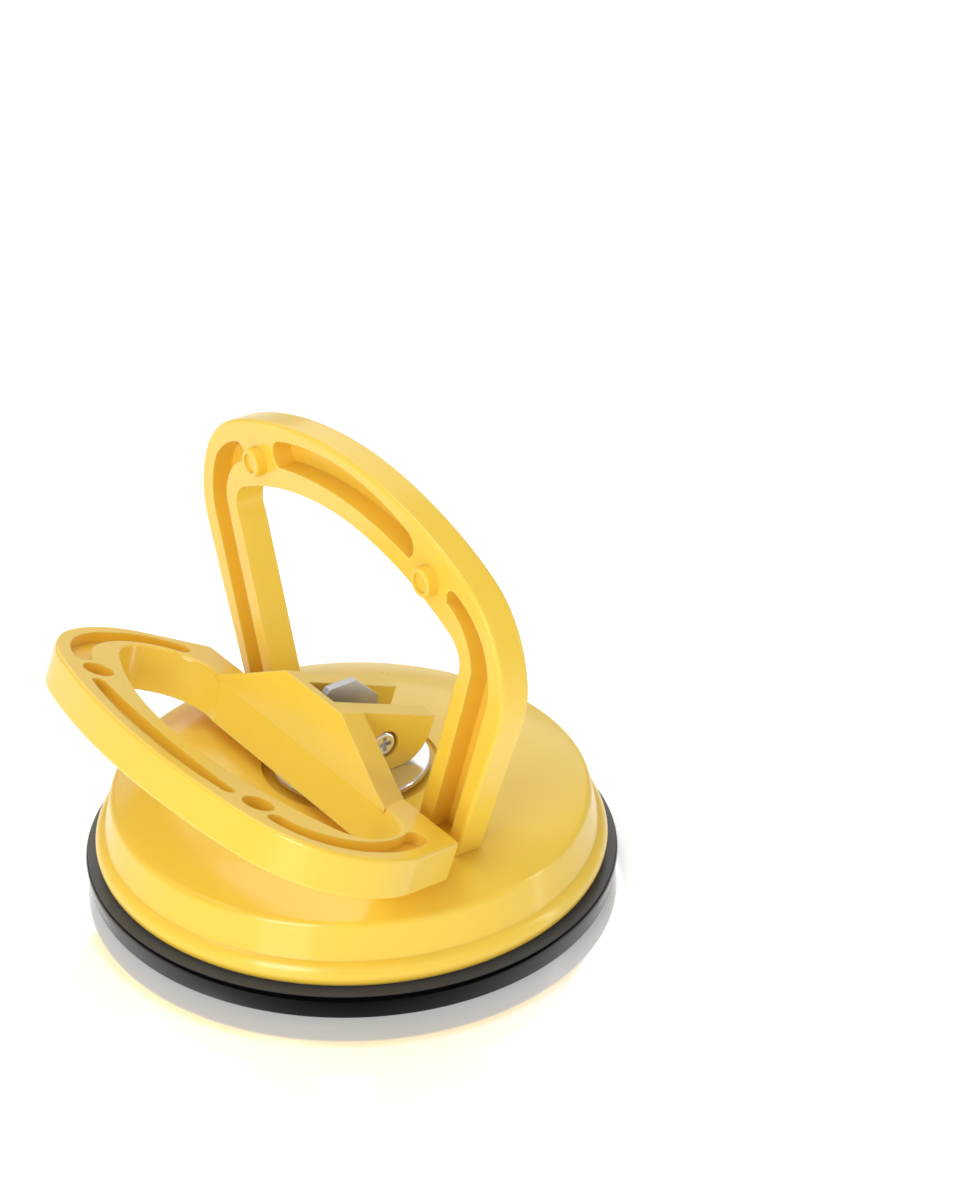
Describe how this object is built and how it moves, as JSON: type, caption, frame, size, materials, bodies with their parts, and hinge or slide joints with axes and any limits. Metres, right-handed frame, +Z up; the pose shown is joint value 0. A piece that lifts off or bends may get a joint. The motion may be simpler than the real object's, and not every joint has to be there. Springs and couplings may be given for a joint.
{
  "type": "vacuum suction lifter",
  "caption": "Hand vacuum lifter: a round rubber cup under a domed housing with a fixed arch handle and a cam lever that closes against it to draw the suction.",
  "frame": {"origin": "centre of the cup's sealing face", "axes": "+Z up out of the sealing face, +Y along the lever's pin, the open lever lies towards -X and the arch faces -X"},
  "size_m": [0.118, 0.118, 0.1018],
  "materials": {
    "yellow_plastic": "glossy moulded ABS",
    "black_rubber": "smooth semi-gloss rubber",
    "chrome": "polished plating",
    "zinc_steel": "bright zinc plate"
  },
  "bodies": {
    "base": {"base_housing": "yellow_plastic", "arch_handle": "yellow_plastic", "arch_screws": "zinc_steel", "wear_disc": "chrome", "rubber_cup": "black_rubber", "rubber_web": "black_rubber"},
    "puller": {"rubber_hub": "black_rubber", "pull_plate": "zinc_steel", "tab_weld": "zinc_steel", "pull_tab": "zinc_steel"},
    "lever": {"lever": "yellow_plastic", "pivot_bolt": "chrome", "pivot_nut": "zinc_steel", "spacer_sleeves": "zinc_steel"}
  },
  "joints": [
    {"name": "tab_lift", "type": "slide", "parent": "base", "child": "puller", "axis": [0, 0, 1], "range_m": [0, 0.0045], "deforming": ["rubber_web"]},
    {"name": "lever_hinge", "type": "hinge", "parent": "puller", "child": "lever", "pos_m": [0.0025, 0, 0.0345], "axis": [0, 1, 0], "range_deg": [0, 68]}
  ],
  "couplings": [
    {"joint": "tab_lift", "follows": "lever_hinge", "m_per_rad": 0.0037916}
  ]
}
